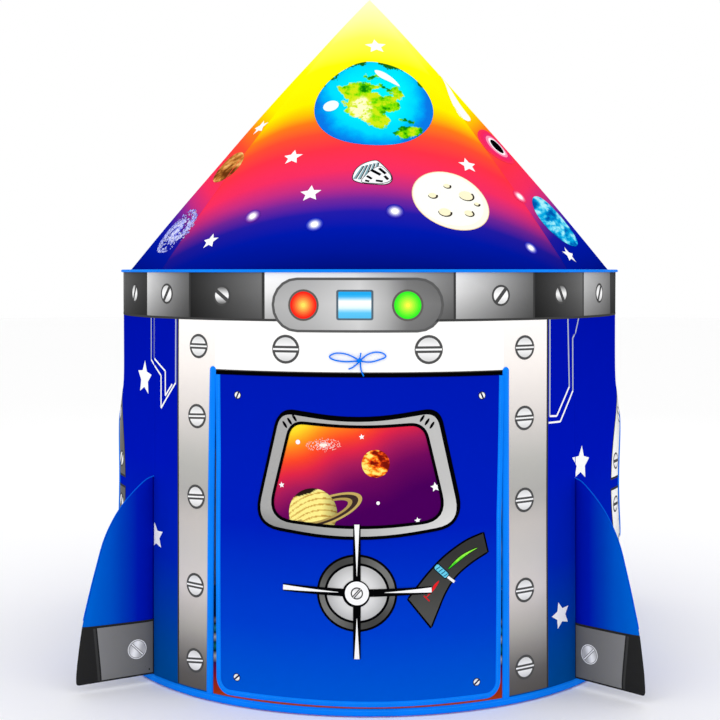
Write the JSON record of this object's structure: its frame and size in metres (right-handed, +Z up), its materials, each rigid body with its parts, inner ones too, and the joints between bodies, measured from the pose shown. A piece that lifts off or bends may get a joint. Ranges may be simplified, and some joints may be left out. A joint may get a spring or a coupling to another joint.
{
  "type": "play tent",
  "caption": "Round rocket-shaped pole play tent with a conical roof, hinged door flap, side windows, stabiliser fins and a sewn-in floor.",
  "frame": {"origin": "on the floor, on the tent's axis, at the underside of the floor sheet", "axes": "+Z up along the tent's axis, door flap towards -Y, +X to the right seen from outside the door"},
  "size_m": [1.0503, 1.0433, 1.3458],
  "materials": {
    "wall_print": "matte",
    "roof_print": "matte",
    "flap_print": "matte",
    "floor": "matte",
    "binding": "matte",
    "mesh": "matte",
    "fin_print": "matte",
    "foam": "matte",
    "cord": "matte",
    "pole": "satin",
    "hoop": "satin",
    "metal": "satin",
    "plastic": "satin"
  },
  "bodies": {
    "root": {"apex_hub": "plastic", "base_binding": "binding", "base_hoop": "hoop", "door_binding_left": "binding", "door_binding_right": "binding", "eave_binding": "binding", "eave_elbow_front_left": "plastic", "eave_elbow_front_right": "plastic", "eave_elbow_rear_left": "plastic", "eave_elbow_rear_right": "plastic", "eave_hoop": "hoop", "floor_sheet": "floor", "pole_ferrule_front_left": "metal", "pole_ferrule_front_right": "metal", "pole_ferrule_rear_left": "metal", "pole_ferrule_rear_right": "metal", "pole_foot_front_left": "plastic", "pole_foot_front_right": "plastic", "pole_foot_rear_left": "plastic", "pole_foot_rear_right": "plastic", "roof_gore_front": "roof_print", "roof_gore_left": "roof_print", "roof_gore_rear": "roof_print", "roof_gore_right": "roof_print", "roof_pole_front_left": "pole", "roof_pole_front_right": "pole", "roof_pole_rear_left": "pole", "roof_pole_rear_right": "pole", "tie_knot": "cord", "tie_loop_left": "cord", "tie_loop_right": "cord", "tie_tail_left": "cord", "tie_tail_right": "cord", "wall_panel_front": "wall_print", "wall_panel_left": "wall_print", "wall_panel_rear": "wall_print", "wall_panel_right": "wall_print", "wall_pole_lower_front_left": "pole", "wall_pole_lower_front_right": "pole", "wall_pole_lower_rear_left": "pole", "wall_pole_lower_rear_right": "pole", "wall_pole_upper_front_left": "pole", "wall_pole_upper_front_right": "pole", "wall_pole_upper_rear_left": "pole", "wall_pole_upper_rear_right": "pole", "window_binding_left": "binding", "window_binding_right": "binding", "window_mesh_left": "mesh", "window_mesh_right": "mesh"},
    "door_flap": {"door_flap": "flap_print", "flap_binding": "binding"},
    "fin_front_left": {"fin_cover_front_left": "fin_print", "fin_core_front_left": "foam"},
    "fin_front_right": {"fin_cover_front_right": "fin_print", "fin_core_front_right": "foam"},
    "fin_rear_right": {"fin_cover_rear_right": "fin_print", "fin_core_rear_right": "foam"},
    "fin_rear_left": {"fin_cover_rear_left": "fin_print", "fin_core_rear_left": "foam"}
  },
  "joints": [
    {"name": "door_flap_hinge", "type": "hinge", "parent": "root", "child": "door_flap", "pos_m": [0, -0.517, 0.5914], "axis": [-1, 0, 0], "range_deg": [0, 150]},
    {"name": "fin_hinge_front_left", "type": "hinge", "parent": "root", "child": "fin_front_left", "pos_m": [-0.39873, -0.33457, 0.2], "axis": [0, 0, 1], "range_deg": [-65, 85], "stiffness_Nm_per_rad": 0.02},
    {"name": "fin_hinge_front_right", "type": "hinge", "parent": "root", "child": "fin_front_right", "pos_m": [0.39873, -0.33457, 0.2], "axis": [0, 0, 1], "range_deg": [-80, 80], "stiffness_Nm_per_rad": 0.02},
    {"name": "fin_hinge_rear_right", "type": "hinge", "parent": "root", "child": "fin_rear_right", "pos_m": [0.39873, 0.33457, 0.2], "axis": [0, 0, 1], "range_deg": [-80, 80], "stiffness_Nm_per_rad": 0.02},
    {"name": "fin_hinge_rear_left", "type": "hinge", "parent": "root", "child": "fin_rear_left", "pos_m": [-0.39873, 0.33457, 0.2], "axis": [0, 0, 1], "range_deg": [-80, 80], "stiffness_Nm_per_rad": 0.02}
  ]
}
